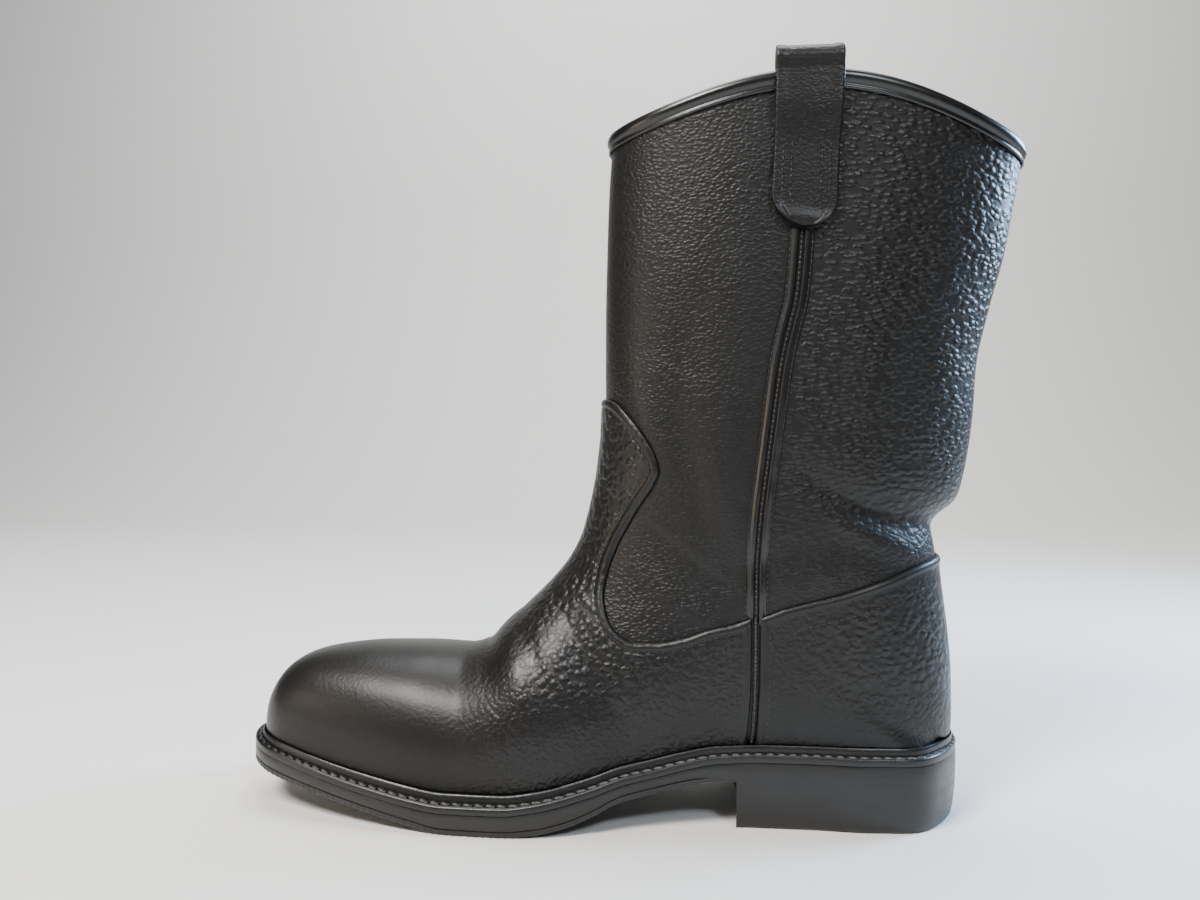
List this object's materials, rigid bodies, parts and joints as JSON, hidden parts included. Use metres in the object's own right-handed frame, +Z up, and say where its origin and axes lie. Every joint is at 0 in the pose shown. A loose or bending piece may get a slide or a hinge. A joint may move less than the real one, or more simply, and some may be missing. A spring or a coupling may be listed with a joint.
{
  "type": "pull-on boot",
  "caption": "Pull-on leather boot with a pebbled shaft, plain round toe, raised side seams, pull straps, sewn welt and low block heel.",
  "frame": {"origin": "on the floor, under the middle of the boot's bounding box", "axes": "+Z up from the floor, -X to the toe, +X to the heel, -Y to the lateral (outer) side, +Y to the medial side"},
  "size_m": [0.3376, 0.1044, 0.3156],
  "materials": {
    "rubber": "satin black moulded rubber",
    "welt_leather": "edge-dressed black welt leather",
    "insole_board": "smooth tan insole leather",
    "shaft_leather": "pebbled semi-gloss black leather",
    "vamp_leather": "semi-gloss black leather, smooth at the toe and pebbled over the instep",
    "counter_leather": "coarsely grained semi-gloss black leather",
    "seam_leather": "smooth folded black leather",
    "thread": "black waxed cord",
    "strap_leather": "lightly pebbled black leather",
    "binding_leather": "smooth glossy black leather"
  },
  "bodies": {
    "root": {"outsole": "rubber", "heel_block": "rubber", "welt": "welt_leather", "insole": "insole_board", "upper": "shaft_leather", "vamp": "vamp_leather", "counter": "counter_leather", "shaft_seam_lateral": "seam_leather", "shaft_seam_medial": "seam_leather", "foot_seam_cord_lateral": "thread", "foot_seam_cord_medial": "thread", "pull_strap_lateral": "strap_leather", "pull_strap_medial": "strap_leather", "top_binding": "binding_leather"}
  },
  "joints": []
}
